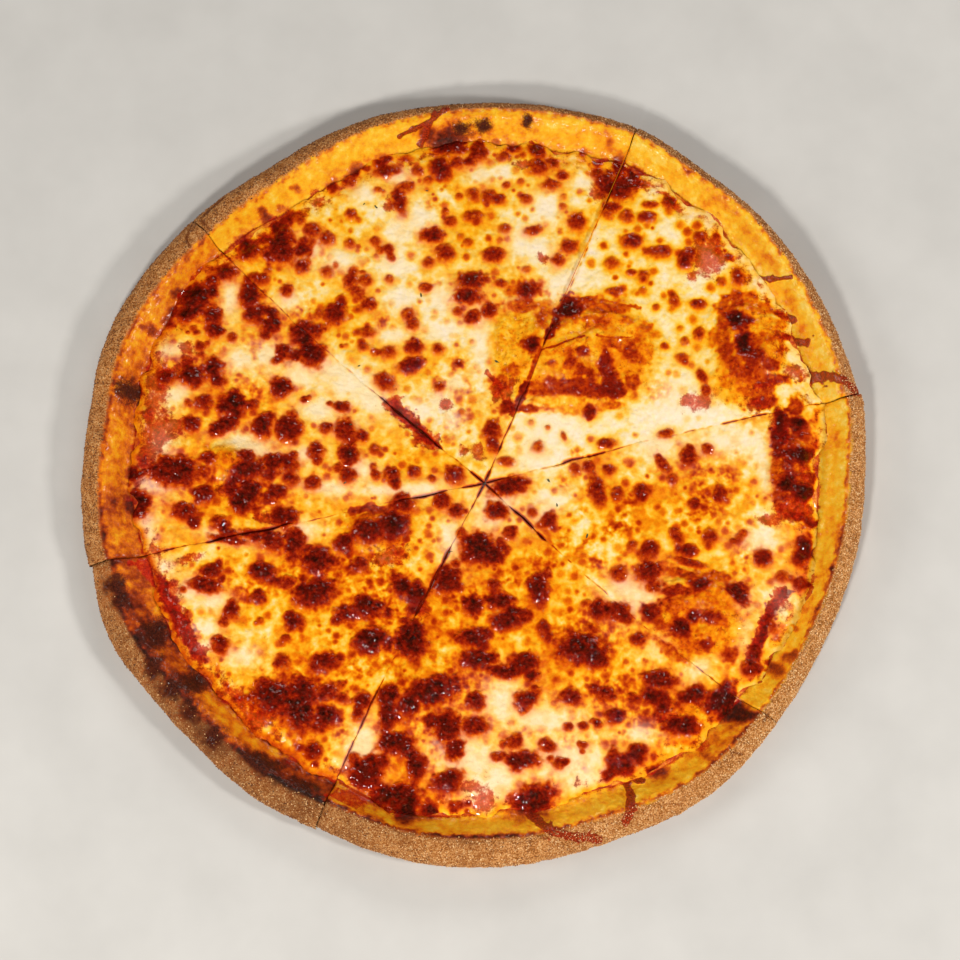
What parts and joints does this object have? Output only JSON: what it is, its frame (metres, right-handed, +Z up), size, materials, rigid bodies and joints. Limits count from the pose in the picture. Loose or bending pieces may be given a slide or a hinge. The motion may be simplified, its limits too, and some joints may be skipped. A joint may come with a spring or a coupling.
{
  "type": "cheese pizza",
  "caption": "Round thin cheese pizza cut right through in wedge slices that lie together, with a raised crust, red sauce and blistered, browned cheese.",
  "frame": {"origin": "on the surface the pizza rests on, under the middle of its bounding box", "axes": "+Z up through the pizza, the shortest side; +X and +Y lie in the plane of its flat underside"},
  "size_m": [0.3602, 0.3562, 0.016],
  "materials": {
    "crust": "baked dough, golden and oily on the inner slope, dusted with semolina outside, charred in spots",
    "sauce": "wet cooked tomato sauce",
    "cheese": "melted cheese, cream to golden yellow, with glossy red-brown blisters"
  },
  "bodies": {
    "root": {"crust_upper_right": "crust", "crust_top": "crust", "crust_left": "crust", "crust_lower_left": "crust", "crust_bottom": "crust", "crust_right": "crust", "sauce_upper_right": "sauce", "sauce_top": "sauce", "sauce_left": "sauce", "sauce_lower_left": "sauce", "sauce_bottom": "sauce", "sauce_right": "sauce", "cheese_upper_right": "cheese", "cheese_top": "cheese", "cheese_left": "cheese", "cheese_lower_left": "cheese", "cheese_bottom": "cheese", "cheese_right": "cheese"}
  },
  "joints": []
}
